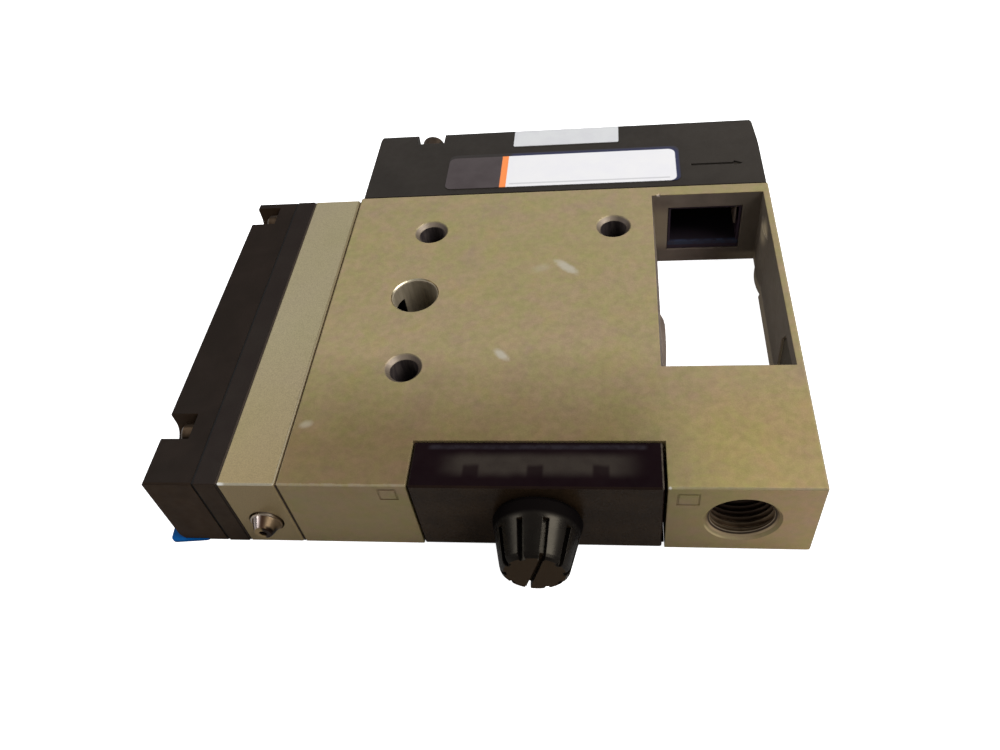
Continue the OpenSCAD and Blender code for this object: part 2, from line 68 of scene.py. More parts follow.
# ---------------------------------------------------------------- node building
class Mat:
    """A procedural material; p is the point in the drawing frame, in mm."""

    def __init__(self, name):
        self.m = bpy.data.materials.new(name)
        self.m.use_nodes = True
        self.t = self.m.node_tree
        self.t.nodes.clear()
        out = self.t.nodes.new("ShaderNodeOutputMaterial")
        self.b = self.t.nodes.new("ShaderNodeBsdfPrincipled")
        self.t.links.new(self.b.outputs[0], out.inputs[0])
        co = self.t.nodes.new("ShaderNodeTexCoord")
        self.p = self.vmath("MULTIPLY_ADD", co.outputs["Object"], (1000.0,) * 3, tuple(-1000.0 * c for c in ORIGIN))
        self._xyz = None
        self._n = None

    def put(self, sock, v):
        if isinstance(v, bpy.types.NodeSocket):
            self.t.links.new(v, sock)
        elif v is not None:
            if sock.type == "RGBA" and not hasattr(v, "__len__"):
                v = (v, v, v, 1.0)
            if sock.type == "VECTOR" and not hasattr(v, "__len__"):
                v = (v, v, v)
            sock.default_value = v

    def node(self, kind, **props):
        n = self.t.nodes.new(kind)
        for k, v in props.items():
            setattr(n, k, v)
        return n

    def vmath(self, op, a, b=None, c=None):
        n = self.node("ShaderNodeVectorMath", operation=op)
        for s, v in zip(n.inputs, (a, b, c)):
            self.put(s, v)
        return n.outputs["Value"] if op in ("DOT_PRODUCT", "LENGTH", "DISTANCE") else n.outputs[0]

    def math(self, op, a, b=None, c=None, clamp=False):
        n = self.node("ShaderNodeMath", operation=op, use_clamp=clamp)
        for s, v in zip(n.inputs, (a, b, c)):
            self.put(s, v)
        return n.outputs[0]

    def xyz(self):
        if self._xyz is None:
            n = self.node("ShaderNodeSeparateXYZ")
            self.put(n.inputs[0], self.p)
            self._xyz = tuple(n.outputs)
        return self._xyz

    def normal(self):
        """x, y, z of the surface's own direction"""
        if self._n is None:
            co = self.node("ShaderNodeTexCoord")
            n = self.node("ShaderNodeSeparateXYZ")
            self.put(n.inputs[0], co.outputs["Normal"])
            self._n = tuple(n.outputs)
        return self._n

    def noise(self, scale, detail=2.0, rough=0.5, dist=0.0, stretch=None, colour=False, shift=None, lac=2.0):
        n = self.node("ShaderNodeTexNoise")
        p = self.p
        if stretch:
            p = self.vmath("MULTIPLY", p, stretch)
        if shift:
            p = self.vmath("ADD", p, shift)
        self.put(n.inputs["Vector"], p)
        n.inputs["Scale"].default_value = scale
        n.inputs["Detail"].default_value = detail
        n.inputs["Roughness"].default_value = rough
        n.inputs["Distortion"].default_value = dist
        n.inputs["Lacunarity"].default_value = lac
        return n.outputs["Color" if colour else "Fac"]

    def range(self, v, a, b, lo=0.0, hi=1.0, smooth=True):
        n = self.node("ShaderNodeMapRange", interpolation_type="SMOOTHSTEP" if smooth else "LINEAR", clamp=True)
        for s, x in zip(n.inputs, (v, a, b, lo, hi)):
            self.put(s, x)
        return n.outputs[0]

    def mix(self, fac, a, b, mode="MIX"):
        n = self.node("ShaderNodeMix", data_type="RGBA", blend_type=mode)
        self.put(n.inputs[0], fac)
        self.put(n.inputs[6], a)
        self.put(n.inputs[7], b)
        return n.outputs[2]

    def ramp(self, fac, stops, mode="LINEAR"):
        n = self.node("ShaderNodeValToRGB")
        n.color_ramp.interpolation = mode
        e = n.color_ramp.elements
        while len(e) > 1:
            e.remove(e[-1])
        e[0].position, e[0].color = stops[0][0], stops[0][1]
        for pos, col in stops[1:]:
            x = e.new(pos)
            x.color = col
        self.put(n.inputs[0], fac)
        return n.outputs[0]

    def band(self, v, a, b, soft):
        """1 between a and b along v, with soft ends"""
        up = self.range(v, a - soft / 2, a + soft / 2)
        down = self.range(v, b - soft / 2, b + soft / 2, 1.0, 0.0)
        return self.math("MULTIPLY", up, down)

    def both(self, *vs):
        out = vs[0]
        for v in vs[1:]:
            out = self.math("MULTIPLY", out, v)
        return out

    def either(self, *vs):
        out = vs[0]
        for v in vs[1:]:
            out = self.math("MAXIMUM", out, v)
        return out

    def spot(self, centre, size, turn=0.0, edge=0.35, rag=0.0, rag_scale=1.5):
        """an elliptical patch in xy, turned about z, with a ragged edge"""
        x, y, z = self.xyz()
        dx = self.math("SUBTRACT", x, centre[0])
        dy = self.math("SUBTRACT", y, centre[1])
        c, s = math.cos(turn), math.sin(turn)
        u = self.math("ADD", self.math("MULTIPLY", dx, c / size[0]), self.math("MULTIPLY", dy, s / size[0]))
        v = self.math("ADD", self.math("MULTIPLY", dx, -s / size[1]), self.math("MULTIPLY", dy, c / size[1]))
        r = self.math("SQRT", self.math("ADD", self.math("MULTIPLY", u, u), self.math("MULTIPLY", v, v)))
        if rag:
            r = self.math("ADD", r, self.math("MULTIPLY", self.math("SUBTRACT", self.noise(rag_scale, 4.0, 0.65), 0.5), rag))
        return self.range(r, 1.0 + edge, 1.0 - edge)

    def spot_yz(self, centre, size, edge=0.5):
        """an elliptical patch in yz"""
        x, y, z = self.xyz()
        u = self.math("MULTIPLY", self.math("SUBTRACT", y, centre[0]), 1.0 / size[0])
        v = self.math("MULTIPLY", self.math("SUBTRACT", z, centre[1]), 1.0 / size[1])
        r = self.math("SQRT", self.math("ADD", self.math("MULTIPLY", u, u), self.math("MULTIPLY", v, v)))
        return self.range(r, 1.0 + edge, 1.0 - edge)

    def edges(self, lo, hi, width, rag=0.0, rag_scale=1.2):
        """1 along the edges of the box from lo to hi"""
        x, y, z = self.xyz()
        d = []
        for v, a, b in zip((x, y, z), lo, hi):
            d.append(self.math("MINIMUM", self.math("ABSOLUTE", self.math("SUBTRACT", v, a)), self.math("ABSOLUTE", self.math("SUBTRACT", v, b))))
        second = self.math("MAXIMUM", self.math("MINIMUM", d[0], d[1]), self.math("MINIMUM", self.math("MAXIMUM", d[0], d[1]), d[2]))
        if rag:
            second = self.math("ADD", second, self.math("MULTIPLY", self.math("SUBTRACT", self.noise(rag_scale, 4.0, 0.6), 0.5), rag))
        return self.range(second, width, width * 0.35)

    def bump(self, height, depth_mm, strength=1.0, normal=None):
        n = self.node("ShaderNodeBump")
        n.inputs["Strength"].default_value = strength
        n.inputs["Distance"].default_value = depth_mm * 0.001
        self.put(n.inputs["Height"], height)
        if normal is not None:
            self.put(n.inputs["Normal"], normal)
        return n.outputs[0]

    def bevel(self, radius_mm, samples=6):
        """a normal that rounds the mesh's edges a little"""
        n = self.node("ShaderNodeBevel", samples=samples)
        n.inputs["Radius"].default_value = radius_mm * 0.001
        return n.outputs[0]

    def set(self, **kw):
        for k, v in kw.items():
            self.put(self.b.inputs[k.replace("_", " ")], v)
        return self


def dress(mat, *nodes):
    """gives CAD nodes a material"""
    for n in nodes:
        o = NODES[n]
        o.data.materials.clear()
        o.data.materials.append(mat.m)


# ---------------------------------------------------------------- places
RECORD = frame["record"]
ROW = {m["name"]: m for m in RECORD["mounts"]}


def at_mount(name):
    """a mount's position in the drawing frame, in mm"""
    p = ROW[name]["pos_m"]
    return tuple((p[i] - ORIGIN[i]) * 1000.0 for i in range(3))


RODS = [at_mount(n)[:2] for n in ("tie_rod_hole_rear_left", "tie_rod_hole_rear_right", "tie_rod_hole_front_left")]
ROD_R = ROW["tie_rod_hole_rear_left"]["dims"]["r_mm"]
CSK_R = ROD_R + 0.75
PORT = at_mount("vacuum_port")
SUPPLY = at_mount("supply_bore")[:2]
SUPPLY_R = ROW["supply_bore"]["dims"]["r_mm"]
_slo, _shi = mm("filter_knob")
KNOB = ((_slo.x + _shi.x) / 2, (_slo.z + _shi.z) / 2)
NEEDLE = mm("release_needle")
WIN = (Vector((BODY.x - 1.1 - 19.15, BODY.y - 2.6 - 40.35, 0.0)), Vector((BODY.x - 1.1, BODY.y - 2.6, BODY.z)))
CASE = mm("filter_case")
SOCK = (56.6, 2.9, 69.6, 12.6)


# ---------------------------------------------------------------- materials
def tint(m, base, *k):
    return m.mix(1.0, base, (k[0], k[1], k[2], 1.0), "MULTIPLY")


def metal_body():
    m = Mat("tarnished_body_metal")
    x, y, z = m.xyz()
    nx, ny, nz = m.normal()
    # broad tarnish: brown to olive, with yellower clouds
    broad = m.noise(0.075, 3.0, 0.55, 0.9)
    cloud = m.noise(0.16, 4.0, 0.6, 0.5, shift=(31.0, 7.0, 3.0))
    fine = m.noise(0.85, 4.0, 0.62, 0.2)
    grain = m.noise(7.0, 2.0, 0.6)
    base = m.ramp(broad, [(0.32, srgb(159, 141, 108)), (0.5, srgb(159, 143, 106)), (0.68, srgb(156, 144, 100))])
    base = m.mix(m.range(cloud, 0.5, 0.72, 0.0, 0.45), base, srgb(161, 143, 97))
    base = m.mix(m.range(cloud, 0.46, 0.3, 0.0, 0.45), base, srgb(154, 136, 111))
    hue = m.noise(0.45, 3.0, 0.6, 0.3, shift=(11.0, 2.0, 5.0))
    base = m.mix(m.range(hue, 0.32, 0.68), tint(m, base, 1.04, 0.985, 1.05), tint(m, base, 0.965, 1.02, 0.90))
    base = m.mix(m.range(fine, 0.3, 0.7), tint(m, base, 0.95, 0.95, 0.94), tint(m, base, 1.05, 1.05, 1.05))
    base = m.mix(m.range(grain, 0.35, 0.65), tint(m, base, 0.95, 0.95, 0.95), tint(m, base, 1.05, 1.05, 1.05))
    # painted shade: yellower and darker towards the front, left of the case's knob, and yellower towards the front on
    # the right; painted light: lighter towards the back on the left
    top = m.range(nz, 0.7, 0.9)
    left = m.range(x, 62.0, 46.0)
    wob = m.math("MULTIPLY", m.math("SUBTRACT", m.noise(0.12, 3.0, 0.55, shift=(3.0, 1.0, 0.0)), 0.5), 6.0)
    yw = m.math("ADD", y, wob)
    front = m.both(m.range(yw, 25.0, 7.0, smooth=False), top, left)
    base = m.mix(front, base, tint(m, base, 0.56, 0.50, 0.42))
    base = m.mix(m.both(m.range(y, 24.0, 10.0), top, m.range(x, 52.0, 62.0)), base, tint(m, base, 1.04, 0.98, 0.82))
    base = m.mix(m.both(m.range(y, 18.0, 27.0), top, m.range(x, 60.0, 52.0)), base, tint(m, base, 1.07, 1.06, 1.09))
    # painted shade: front and side faces are browner and darker than the top
    side = m.range(nz, 0.4, 0.1)
    base = m.mix(side, base, tint(m, base, 0.94, 0.90, 0.84))
    # painted light: front faces painted lighter towards the right end
    face = m.range(ny, -0.8, -0.95)
    base = m.mix(m.both(face, m.range(x, 54.0, 76.0, smooth=False)), base, tint(m, base, 1.85, 1.74, 1.82))
    # walls of the window: dull brown-grey, lighter in patches
    wlo, whi = WIN
    in_win = m.both(m.band(x, wlo[0] - 0.2, whi[0] + 0.5, 0.05), m.band(y, wlo[1] - 0.02, BODY.y + 1.0, 0.03), m.range(z, BODY.z - 0.03, BODY.z - 0.12))
    inner = m.mix(m.range(m.noise(0.2, 3.0, 0.5, 0.3), 0.35, 0.7), srgb(124, 110, 100), srgb(142, 128, 116))
    right = m.range(x, wlo[0] + 10, whi[0] - 1)
    # painted shade: the right wall is painted darker, with a painted pool of light near its top
    inner = m.mix(right, inner, m.mix(m.spot_yz((54.9, 11.9), (1.9, 1.9), 0.6), srgb(114, 104, 92), srgb(178, 164, 138)))
    inner = m.mix(m.both(right, m.range(z, 2.4, 1.2)), inner, srgb(168, 156, 136))
    # painted shade: the floor of the relief in the right wall is painted darker
    inner = m.mix(m.range(x, whi[0] + 0.12, whi[0] + 0.25), inner, srgb(78, 70, 58))
    # painted light: the sides of the relief's step are painted lighter, against their shadow
    inner = m.mix(m.both(m.range(x, whi[0] + 0.01, whi[0] + 0.04), m.range(nx, -0.7, -0.4)), inner, srgb(196, 182, 156))
    inner = m.mix(m.both(m.range(x, wlo[0] + 6, wlo[0] + 3), m.range(y, whi[1] - 9.0, whi[1] - 4.0), m.band(z, 4.0, 12.0, 3.0)), inner, srgb(160, 146, 126))
    base = m.mix(in_win, base, inner)
    # tie rod holes: countersinks with painted light at the back-left and painted shade towards the front and on the
    # right; painted shade in the bores
    for c in RODS:
        dx = m.math("SUBTRACT", x, c[0])
        dy = m.math("SUBTRACT", y, c[1])
        r = m.math("SQRT", m.math("ADD", m.math("MULTIPLY", dx, dx), m.math("MULTIPLY", dy, dy)))
        csk = m.both(m.range(r, CSK_R + 0.12, CSK_R - 0.3, 0.0, 1.0), m.range(nz, 0.95, 0.85))
        deep = m.both(m.range(r, ROD_R + 0.2, ROD_R + 0.05), m.range(nz, 0.3, 0.1))
        away = m.range(m.math("DIVIDE", dx, r), -0.1, 0.7)
        near = m.range(m.math("DIVIDE", dy, r), 0.5, -0.4)
        base = m.mix(csk, base, m.mix(away, m.mix(near, srgb(134, 120, 104), srgb(100, 88, 74)), srgb(74, 62, 52)))
        base = m.mix(deep, base, m.mix(m.range(m.noise(1.2, 3.0, 0.6, stretch=(1.0, 1.0, 0.15)), 0.4, 0.7), srgb(64, 56, 56), srgb(94, 84, 80)))
    # supply bore: machined wall; its chamfer carries a painted highlight at the back-left and painted shade elsewhere
    dx = m.math("SUBTRACT", x, SUPPLY[0])
    dy = m.math("SUBTRACT", y, SUPPLY[1])
    r = m.math("SQRT", m.math("ADD", m.math("MULTIPLY", dx, dx), m.math("MULTIPLY", dy, dy)))
    bevelled = m.both(m.range(r, SUPPLY_R + 0.34, SUPPLY_R + 0.28), m.range(nz, 0.95, 0.85))
    cham = m.both(bevelled, m.range(r, SUPPLY_R + 0.1, SUPPLY_R + 0.16), m.range(nz, 0.2, 0.4))
    wall = m.both(m.either(m.range(r, SUPPLY_R + 0.1, SUPPLY_R + 0.04), m.both(bevelled, m.range(r, SUPPLY_R + 0.2, SUPPLY_R + 0.12))), m.range(nz, 0.9, 0.8))
    away = m.range(m.math("DIVIDE", dx, r), -0.1, 0.5)
    near = m.range(m.math("DIVIDE", dy, r), 0.45, 0.0)
    base = m.mix(wall, base, m.mix(m.range(m.noise(0.9, 3.0, 0.6, stretch=(1.0, 1.0, 0.12)), 0.35, 0.7), srgb(146, 134, 114), srgb(168, 156, 134)))
    base = m.mix(cham, base, m.mix(away, m.mix(near, srgb(214, 204, 176), srgb(112, 98, 70)), srgb(100, 86, 58)))
    # painted shade: the cross passage through the supply bore's wall is painted near black
    slot = m.both(m.range(x, SUPPLY[0] - 2.4, SUPPLY[0] - 2.8), m.range(m.math("ABSOLUTE", m.math("SUBTRACT", y, SUPPLY[1])), 2.5, 2.4), m.range(x, 0.3, 0.6), m.range(z, BODY.z / 2 + 4.65, BODY.z / 2 + 4.5))
    base = m.mix(slot, base, srgb(8, 7, 7))
    # vacuum port: painted shade, darker with depth
    px = m.math("SUBTRACT", x, PORT[0])
    pz = m.math("SUBTRACT", z, PORT[2])
    pr = m.math("SQRT", m.math("ADD", m.math("MULTIPLY", px, px), m.math("MULTIPLY", pz, pz)))
    port = m.both(m.range(pr, 5.0, 4.9), m.range(y, 0.3, 0.5), m.range(y, 13.0, 12.6))
    base = m.mix(port, base, m.mix(m.range(y, 0.5, 6.0), srgb(150, 122, 98), srgb(92, 70, 58)))
    # painted light: the upper part of the mouth's lead-in is painted lighter, where it faces down into shade
    mouth = m.both(m.range(pr, 5.4, 5.25), m.range(pr, 4.8, 4.86), m.range(y, 0.5, 0.42), m.range(ny, -0.98, -0.93))
    base = m.mix(m.both(mouth, m.range(z, PORT[2] + 1.0, PORT[2] + 3.0)), base, tint(m, base, 1.8, 1.8, 1.8))
    # painted highlight: a bright arc on the lower left of the mouth
    arc = m.both(mouth, m.range(px, -1.4, -3.0), m.range(pz, -1.0, -2.2), m.range(pr, 5.0, 5.12))
    base = m.mix(arc, base, srgb(196, 178, 134))
    # scuffs
    s1 = m.spot((39.1, 43.3), (2.2, 0.75), math.radians(-43), 0.55, 1.0, 1.1)
    s2 = m.spot((29.75, 23.9), (1.35, 0.62), math.radians(-45), 0.55, 0.9, 1.2)
    s3 = m.spot((34.9, 43.2), (1.3, 0.8), 0.3, 0.6, 0.9, 1.2)
    s4 = m.spot((2.0, 10.6), (0.9, 0.6), 0.4, 0.6, 0.7, 1.3)
    scuff = m.both(m.either(s1, s2, m.math("MULTIPLY", s3, 0.3), m.math("MULTIPLY", s4, 0.45)), top)
    base = m.mix(m.math("MULTIPLY", scuff, 0.72), base, srgb(196, 190, 174))
    # worn edges, smoother than the faces; their lighter colour is a painted highlight, as is the flecked lighter front
    # top edge; a small bright dot sits on that edge
    wear_and_edge_highlight = m.edges((0.0, 0.0, 0.0), tuple(BODY), 0.24, 0.2)
    base = m.mix(m.math("MULTIPLY", wear_and_edge_highlight, 0.3), base, srgb(186, 174, 150))
    lip = m.both(m.range(z, BODY.z - 0.5, BODY.z - 0.2), m.range(y, 0.45, 0.2), m.range(m.noise(0.9, 4.0, 0.7, shift=(7.0, 0.0, 0.0)), 0.42, 0.62))
    base = m.mix(m.math("MULTIPLY", lip, m.range(x, 55.0, 56.0, 0.4, 0.1)), base, srgb(168, 156, 138))
    dot = m.range(m.vmath("DISTANCE", m.p, (53.95, 0.05, BODY.z - 0.1)), 0.3, 0.12)
    base = m.mix(dot, base, srgb(215, 210, 196))
    rough = m.range(m.math("ADD", m.math("MULTIPLY", fine, 0.5), m.math("MULTIPLY", cloud, 0.5)), 0.3, 0.7, 0.42, 0.55)
    rough = m.math("SUBTRACT", rough, m.math("MULTIPLY", m.either(wear_and_edge_highlight, cham), 0.14))
    n = m.bevel(0.22)
    n = m.bump(m.noise(2.2, 4.0, 0.6), 0.02, 0.4, n)
    n = m.bump(grain, 0.008, 0.6, n)
    m.set(Base_Color=base, Metallic=m.mix(cham, (0.4, 0.4, 0.4, 1), (0.9, 0.9, 0.9, 1)), Roughness=rough, Normal=n)
    return m


def metal_plate():
    m = Mat("sandblasted_plate_metal")
    x, y, z = m.xyz()
    nx, ny, nz = m.normal()
    lo, hi = mm("adapter_plate")
    grain = m.noise(5.5, 3.0, 0.7)
    broad = m.noise(0.12, 3.0, 0.5, 0.3, shift=(5.0, 50.0, 0.0))
    base = m.ramp(broad, [(0.3, srgb(161, 149, 121)), (0.55, srgb(161, 150, 119)), (0.75, srgb(158, 148, 115))])
    base = m.mix(m.range(grain, 0.3, 0.7), tint(m, base, 0.85, 0.85, 0.85), tint(m, base, 1.16, 1.16, 1.15))
    # painted shade: the top darker and yellower towards the front; painted light: the top a little lighter than the
    # sides
    top = m.range(nz, 0.7, 0.9)
    base = m.mix(m.both(top, m.range(y, 30.0, 0.0, smooth=False)), base, tint(m, base, 0.84, 0.76, 0.62))
    base = m.mix(top, base, tint(m, base, 1.05, 1.05, 1.04))
    # painted shade: side faces darker and browner, and the right edge's chamfer darker
    side = m.range(nz, 0.4, 0.1)
    base = m.mix(side, base, tint(m, base, 0.88, 0.76, 0.60))
    base = m.mix(m.both(m.range(nx, 0.3, 0.5), m.range(nz, 0.4, 0.6)), base, tint(m, base, 0.62, 0.58, 0.52))
    # painted highlight: a thin light line along the right top edge, which is also worn smoother
    wear_and_edge_highlight = m.both(m.range(x, hi.x - 0.16, hi.x - 0.08), m.range(z, hi.z - 0.2, hi.z - 0.08), m.range(m.math("ADD", y, m.math("MULTIPLY", m.noise(0.5, 3.0, 0.6), 20.0)), 56.0, 30.0))
    base = m.mix(m.math("MULTIPLY", wear_and_edge_highlight, 0.7), base, srgb(226, 220, 202))
    # painted highlight: the front top edge and its left corner are painted brightest
    lip = m.both(m.range(z, hi.z - 0.4, hi.z - 0.15), m.range(y, 0.4, 0.15))
    corner = m.range(m.vmath("DISTANCE", m.p, (lo.x + 0.3, 0.0, hi.z)), 1.1, 0.4)
    base = m.mix(m.math("MULTIPLY", lip, 0.35), base, srgb(206, 200, 184))
    base = m.mix(m.both(corner, lip), base, srgb(250, 248, 240))
    rough = m.math("SUBTRACT", m.range(grain, 0.3, 0.7, 0.42, 0.52), m.math("MULTIPLY", wear_and_edge_highlight, 0.15))
    n = m.bump(grain, 0.02, 0.6, m.bevel(0.1))
    m.set(Base_Color=base, Metallic=0.4, Roughness=rough, Normal=n)
    return m


def plastic(name, dark, light, rough=(0.42, 0.55), grain_mm=0.01, specular=0.5, bevel=0.0, grain_scale=6.0):
    m = Mat(name)
    broad = m.noise(0.12, 3.0, 0.55, 0.4)
    grain = m.noise(grain_scale, 3.0, 0.65)
    base = m.mix(m.range(broad, 0.3, 0.7), dark, light)
    m.base = m.mix(m.range(grain, 0.3, 0.7), tint(m, base, 0.86, 0.86, 0.86), tint(m, base, 1.14, 1.14, 1.14))
    n = m.bump(grain, grain_mm, 0.7, m.bevel(bevel) if bevel else None)
    m.set(Base_Color=m.base, Roughness=m.range(m.noise(0.5, 4.0, 0.6), 0.3, 0.7, *rough), Normal=n, Specular_IOR_Level=specular)
    return m


def rear_plastic():
    m = plastic("cover_moulding", srgb(36, 31, 26), srgb(41, 36, 31), (0.48, 0.6), 0.012, 0.22, 0.2)
    x, y, z = m.xyz()
    nx, ny, nz = m.normal()
    base = m.base
    # painted light: lighter to the right on top
    base = m.mix(m.both(m.range(x, 40.0, 74.0), m.range(nz, 0.7, 0.9)), base, tint(m, base, 1.25, 1.25, 1.22))
    # plug socket: painted shade on its floor, blue-grey lip, light edge on the key rib
    y1 = WIN[1][1]
    face = m.both(m.band(x, SOCK[0], SOCK[2], 0.05), m.band(y, y1 - 0.5, y1 + 7.5, 0.05), m.band(z, SOCK[1], SOCK[3], 0.05))
    base = m.mix(face, base, m.mix(m.range(nz, 0.5, 0.8), srgb(60, 48, 60), srgb(38, 31, 38)))
    lip = m.both(face, m.band(z, SOCK[1] + 0.9, SOCK[1] + 1.75, 0.15), m.range(y, y1 + 1.0, y1 + 0.5), m.range(m.noise(0.8, 2.0, 0.5), 0.3, 0.6, 0.5, 1.0))
    base = m.mix(m.math("MULTIPLY", lip, 0.9), base, srgb(58, 66, 88))
    rib = m.both(face, m.band(x, SOCK[2] - 1.3, SOCK[2] - 0.9, 0.08), m.band(z, SOCK[3] - 4.25, SOCK[3] - 0.3, 0.3))
    base = m.mix(rib, base, srgb(104, 92, 82))
    m.set(Base_Color=base)
    return m


def plate_plastic(name, dark, light, front):
    """its front faces are painted lighter and browner than its top: painted light"""
    m = plastic(name, dark, light, (0.5, 0.62), 0.012, 0.08, 0.15)
    nx, ny, nz = m.normal()
    m.set(Base_Color=m.mix(m.range(ny, -0.6, -0.9), m.base, m.mix(m.range(m.noise(0.3, 3.0, 0.5), 0.3, 0.7), front, tint(m, front, 0.8, 0.8, 0.8))))
    return m


def end_plastic():
    return plate_plastic("end_moulding", srgb(29, 22, 17), srgb(35, 27, 22), srgb(62, 47, 34))


def blank_plastic():
    return plate_plastic("blanking_moulding", srgb(34, 27, 24), srgb(38, 32, 28), srgb(60, 47, 36))


def knob_plastic():
    m = plastic("knob_moulding", srgb(12, 10, 9), srgb(16, 13, 12), (0.3, 0.42), 0.006, 0.3, 0.12)
    nx, ny, nz = m.normal()
    x, y, z = m.xyz()
    # painted shade: the foot next to the case is painted darker and duller; painted light: the tip face is painted
    # lighter and browner
    foot = m.range(y, -3.2, -2.2)
    tip = m.range(ny, -0.8, -0.95)
    base = m.mix(m.math("MULTIPLY", foot, 0.7), m.base, srgb(6, 4, 5))
    base = m.mix(tip, base, srgb(63, 51, 39))
    dull = m.either(foot, tip)
    rough = m.mix(dull, m.range(m.noise(0.5, 4.0, 0.6), 0.3, 0.7, 0.24, 0.32), (0.7, 0.7, 0.7, 1))
    m.set(Base_Color=base, Roughness=rough, Specular_IOR_Level=m.mix(dull, (0.22, 0.22, 0.22, 1), (0.025, 0.025, 0.025, 1)), Specular_Tint=(1.0, 0.88, 0.68, 1.0))
    return m


def smoky():
    """Dark translucent plastic, drawn opaque; the lit filter behind its top wall is painted on between the ribs as a
    lighter glow: painted light.
    """
    m = Mat("smoky_moulding")
    x, y, z = m.xyz()
    lo, hi = CASE
    nx, ny, nz = m.normal()
    kx = KNOB[0]
    wob = m.math("MULTIPLY", m.math("SUBTRACT", m.noise(0.35, 3.0, 0.5), 0.5), 0.6)
    yy = m.math("ADD", y, wob)
    top = m.range(nz, 0.5, 0.9)
    # painted light: the lit filter seen through the top, a lighter band broken by the ribs
    window = m.both(m.range(x, kx - 14.2, kx - 9.6), m.range(x, kx + 15.4, kx + 9.8), m.range(yy, 1.3, 3.0), m.range(yy, 6.1, 4.6))
    rib = m.either(*[m.band(x, kx + d - 1.1, kx + d + 1.1, 0.5) for d in (-8.85, 0.0, 8.9)])
    rib = m.math("MULTIPLY", rib, m.range(yy, 4.1, 3.2))
    glow = m.math("MULTIPLY", window, m.math("SUBTRACT", 1.0, m.math("MULTIPLY", rib, 0.8)))
    glow = m.both(glow, top, m.range(m.noise(0.6, 3.0, 0.5), 0.2, 0.8, 0.75, 1.0))
    # painted highlight: a thin blue-grey line along the back of the glow
    rim = m.both(m.band(y, 6.3, 7.0, 0.5), m.band(x, lo.x + 2.5, hi.x - 2.6, 1.0), top, m.range(m.noise(0.7, 3.0, 0.6), 0.38, 0.6, 0.5, 1.0))
    base = m.mix(m.range(m.noise(0.16, 3.0, 0.5), 0.3, 0.7), srgb(15, 5, 8), srgb(19, 8, 11))
    # painted light: front faces are painted lighter and browner
    front = m.range(ny, -0.6, -0.9)
    base = m.mix(front, base, m.mix(m.range(m.noise(0.2, 3.0, 0.5, shift=(0, 0, 9.0)), 0.35, 0.65), srgb(44, 33, 23), srgb(53, 40, 27)))
    base = m.mix(m.math("MULTIPLY", glow, 0.95), base, srgb(52, 46, 41))
    base = m.mix(m.math("MULTIPLY", rim, 0.7), base, srgb(42, 38, 43))
    # painted highlight: the right top edge is painted light
    edge = m.both(m.band(x, hi.x - 0.62, hi.x - 0.4, 0.06), m.range(z, hi.z - 0.5, hi.z - 0.25), m.range(m.noise(0.6, 3.0, 0.6), 0.3, 0.55, 0.5, 1.0))
    base = m.mix(m.math("MULTIPLY", edge, 0.65), base, srgb(92, 84, 73))
    m.set(Base_Color=base, Roughness=m.range(m.noise(0.8, 3.0, 0.5), 0.3, 0.7, 0.26, 0.34), Normal=m.bump(m.noise(3.0, 2.0, 0.5), 0.003, 0.5, m.bevel(0.15)), Specular_IOR_Level=0.09)
    return m


def steel(name, shade, rough=(0.22, 0.36), metallic=1.0, bevel=0.0):
    m = Mat(name)
    a = m.noise(0.9, 4.0, 0.6)
    g = m.noise(6.0, 2.0, 0.6)
    m.base = m.mix(m.range(a, 0.3, 0.7), m.mix(1.0, shade, (0.8, 0.78, 0.74, 1.0), "MULTIPLY"), shade)
    m.set(Base_Color=m.base, Metallic=metallic, Roughness=m.range(a, 0.3, 0.7, *rough), Normal=m.bump(g, 0.006, 0.5, m.bevel(bevel) if bevel else None))
    return m


def needle_metal():
    """polished, browner and duller on the side turned to the body, with painted shade low on the right and at the tip,
    and painted highlights on the flange and the tip
    """
    m = steel("polished_needle", srgb(222, 208, 204), (0.13, 0.18), 1.0, 0.08)
    x, y, z = m.xyz()
    nlo, nhi = NEEDLE
    cx, cz = (nlo.x + nhi.x) / 2, (nlo.z + nhi.z) / 2
    right = m.range(m.math("SUBTRACT", x, cx), -0.9, 0.1)
    low = m.both(m.range(m.math("SUBTRACT", m.math("SUBTRACT", x, cx), m.math("MULTIPLY", m.math("SUBTRACT", z, cz), 0.9)), 0.8, 1.8), m.range(y, nlo.y + 1.4, nlo.y + 0.7))
    tip = m.range(y, nlo.y + 0.25, nlo.y + 0.05)
    flange = m.range(y, nlo.y + 1.72, nlo.y + 1.82)
    shade = m.both(m.range(y, nlo.y + 0.7, nlo.y + 0.3), m.range(m.math("SUBTRACT", x, cx), 0.5, 0.9))
    base = m.mix(right, m.base, m.mix(m.range(m.math("SUBTRACT", x, cx), 0.1, 0.9), srgb(92, 68, 54), srgb(120, 101, 78)))
    # painted shade on the lower right of the cone and near its tip
    base = m.mix(m.either(low, shade), base, srgb(26, 18, 13))
    # painted highlight on the flange, except at its right
    base = m.mix(m.both(flange, m.range(m.math("SUBTRACT", x, cx), 1.8, 1.0)), base, srgb(190, 176, 160))
    # painted highlight on the left of the tip face, painted shade on its right
    base = m.mix(tip, base, m.mix(m.range(m.math("SUBTRACT", x, cx), -0.1, 0.35), srgb(158, 136, 98), srgb(46, 34, 27)))
    m.set(Base_Color=base, Roughness=m.mix(m.either(right, tip), m.range(m.noise(0.9, 4.0, 0.6), 0.3, 0.7, 0.13, 0.18), (0.46, 0.46, 0.46, 1)))
    return m


